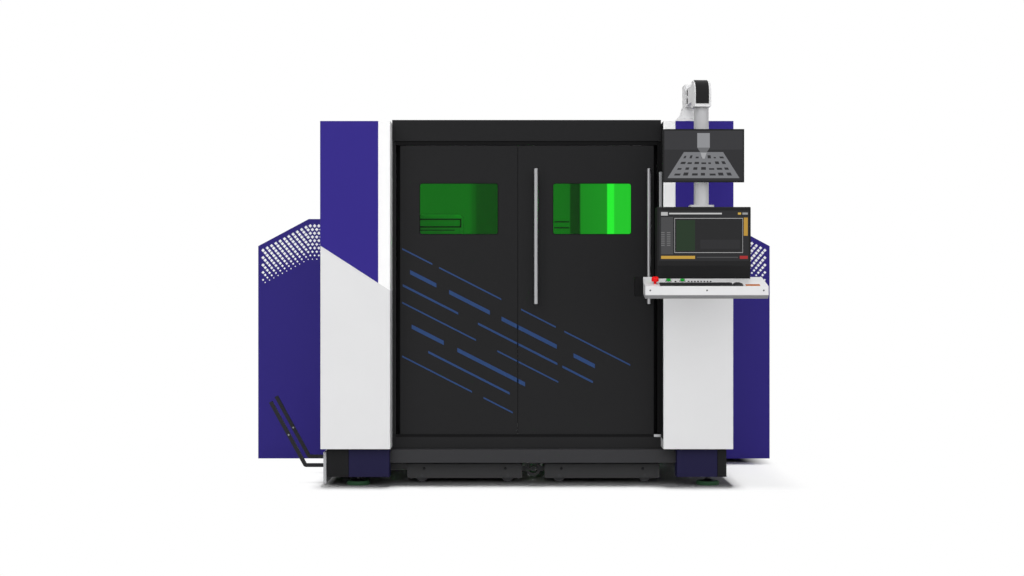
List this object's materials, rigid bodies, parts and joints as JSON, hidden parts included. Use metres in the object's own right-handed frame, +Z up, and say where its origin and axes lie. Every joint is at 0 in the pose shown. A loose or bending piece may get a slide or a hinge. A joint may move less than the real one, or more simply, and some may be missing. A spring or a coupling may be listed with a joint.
{
  "type": "laser cutting machine",
  "caption": "Enclosed laser cutting machine: cabin with a folding front door, swing-arm control console, side equipment cabinets, gantry over a slatted table and rolling scrap carts.",
  "frame": {"origin": "on the floor below the middle of the bounding box", "axes": "+X to the right as seen from the door, +Y to the back, +Z up"},
  "size_m": [3.573, 3.6, 2.477],
  "materials": {
    "panel_paint": "satin",
    "purple_paint": "satin",
    "door_paint": "satin",
    "track_metal": "satin",
    "bed_paint": "satin",
    "leg_paint": "satin",
    "pad_rubber": "matte",
    "bright_steel": "brushed",
    "rusted_steel": "matte",
    "window_glass": "gloss",
    "motion_paint": "satin",
    "cart_paint": "satin",
    "plate_zinc": "satin",
    "arm_bar": "satin",
    "wheel_plastic": "matte",
    "arm_alloy": "satin",
    "console_paint": "satin",
    "dark_plastic": "satin",
    "screen_glass": "gloss",
    "stop_red": "gloss",
    "button_green": "gloss"
  },
  "bodies": {
    "machine": {"column_left": "panel_paint", "column_right": "panel_paint", "side_panel_left": "panel_paint", "side_panel_right": "panel_paint", "rear_panel": "panel_paint", "roof_panel": "panel_paint", "column_panels": "purple_paint", "cabinet_left": "purple_paint", "cabinet_right": "purple_paint", "lintel": "door_paint", "sill": "door_paint", "door_jambs": "door_paint", "top_track": "track_metal", "bottom_track": "track_metal", "front_beam": "bed_paint", "rear_beam": "bed_paint", "side_beams": "bed_paint", "inner_legs": "bed_paint", "rail_beams": "bed_paint", "leg_skirts": "bed_paint", "front_legs": "leg_paint", "foot_pads": "pad_rubber", "linear_rails": "bright_steel", "foot_studs": "bright_steel", "exhaust_spigot": "bright_steel", "table_slats": "rusted_steel", "table_racks": "rusted_steel", "control_plate": "motion_paint", "laser_source": "motion_paint", "arm_base": "arm_alloy"},
    "left_door": {"left_leaf": "door_paint", "left_window": "window_glass"},
    "right_door": {"right_leaf": "door_paint", "right_window": "window_glass", "door_handles": "bright_steel"},
    "cabinet_door": {"cabinet_door": "purple_paint"},
    "gantry": {"gantry_beam": "motion_paint"},
    "carriage": {"cross_carriage": "motion_paint"},
    "head": {"cutting_head": "bright_steel"},
    "carts": {"cart_left": "cart_paint", "cart_right": "cart_paint", "train_hitch": "cart_paint", "pull_frame": "plate_zinc", "pull_arms": "arm_bar"},
    "wheels_1": {"wheels_1": "wheel_plastic"},
    "wheels_2": {"wheels_2": "wheel_plastic"},
    "wheels_3": {"wheels_3": "wheel_plastic"},
    "wheels_4": {"wheels_4": "wheel_plastic"},
    "arm": {"swing_arm": "arm_alloy", "elbow_cover": "dark_plastic"},
    "console": {"drop_tube": "arm_alloy", "upper_monitor": "dark_plastic", "console_housing": "dark_plastic", "display_glass": "screen_glass", "control_tray": "console_paint", "keyboard": "dark_plastic", "mouse": "dark_plastic"},
    "stop_button": {"stop_button": "stop_red"},
    "start_button": {"start_button": "button_green"},
    "pause_button": {"pause_button": "button_green"}
  },
  "joints": [
    {"name": "door_fold", "type": "hinge", "parent": "machine", "child": "left_door", "pos_m": [-0.6875, -1.034, 1.2], "axis": [0, 0, -1], "range_deg": [0, 85]},
    {"name": "leaf_fold", "type": "hinge", "parent": "left_door", "child": "right_door", "pos_m": [0.0225, -1.015, 1.2], "axis": [0, 0, 1], "range_deg": [0, 170]},
    {"name": "cabinet_door_hinge", "type": "hinge", "parent": "machine", "child": "cabinet_door", "pos_m": [-1.776, 0.0605, 0.76], "axis": [0, 0, 1], "range_deg": [0, 110]},
    {"name": "gantry_slide", "type": "slide", "parent": "machine", "child": "gantry", "axis": [0, 1, 0], "range_m": [-0.3, 1.1]},
    {"name": "carriage_slide", "type": "slide", "parent": "gantry", "child": "carriage", "axis": [1, 0, 0], "range_m": [0, 1.2]},
    {"name": "head_slide", "type": "slide", "parent": "carriage", "child": "head", "axis": [0, 0, 1], "range_m": [-0.03, 0.05]},
    {"name": "cart_slide", "type": "slide", "parent": "machine", "child": "carts", "axis": [-1, 0, 0], "range_m": [0, 1.6]},
    {"name": "wheels_1_spin", "type": "hinge", "parent": "carts", "child": "wheels_1", "pos_m": [-0.579, -0.615, 0.0444], "axis": [0, 1, 0], "continuous": true},
    {"name": "wheels_2_spin", "type": "hinge", "parent": "carts", "child": "wheels_2", "pos_m": [-0.041, -0.615, 0.0444], "axis": [0, 1, 0], "continuous": true},
    {"name": "wheels_3_spin", "type": "hinge", "parent": "carts", "child": "wheels_3", "pos_m": [0.282, -0.615, 0.0444], "axis": [0, 1, 0], "continuous": true},
    {"name": "wheels_4_spin", "type": "hinge", "parent": "carts", "child": "wheels_4", "pos_m": [0.82, -0.615, 0.0444], "axis": [0, 1, 0], "continuous": true},
    {"name": "arm_swing", "type": "hinge", "parent": "machine", "child": "arm", "pos_m": [1.0875, -1.11, 2.3], "axis": [0, 0, 1], "range_deg": [-20, 40]},
    {"name": "console_swivel", "type": "hinge", "parent": "arm", "child": "console", "pos_m": [1.10366, -1.5507, 2.3], "axis": [0, 0, 1], "range_deg": [-30, 30]},
    {"name": "stop_press", "type": "slide", "parent": "console", "child": "stop_button", "axis": [0, 0.2313, -0.9729], "range_m": [0, 0.006], "stiffness_N_per_m": 800, "springref_m": -0.005},
    {"name": "start_press", "type": "slide", "parent": "console", "child": "start_button", "axis": [0, 0.2313, -0.9729], "range_m": [0, 0.004], "stiffness_N_per_m": 800, "springref_m": -0.005},
    {"name": "pause_press", "type": "slide", "parent": "console", "child": "pause_button", "axis": [0, 0.2313, -0.9729], "range_m": [0, 0.004], "stiffness_N_per_m": 800, "springref_m": -0.005}
  ],
  "couplings": [
    {"joint": "leaf_fold", "follows": "door_fold", "ratio": 2}
  ]
}
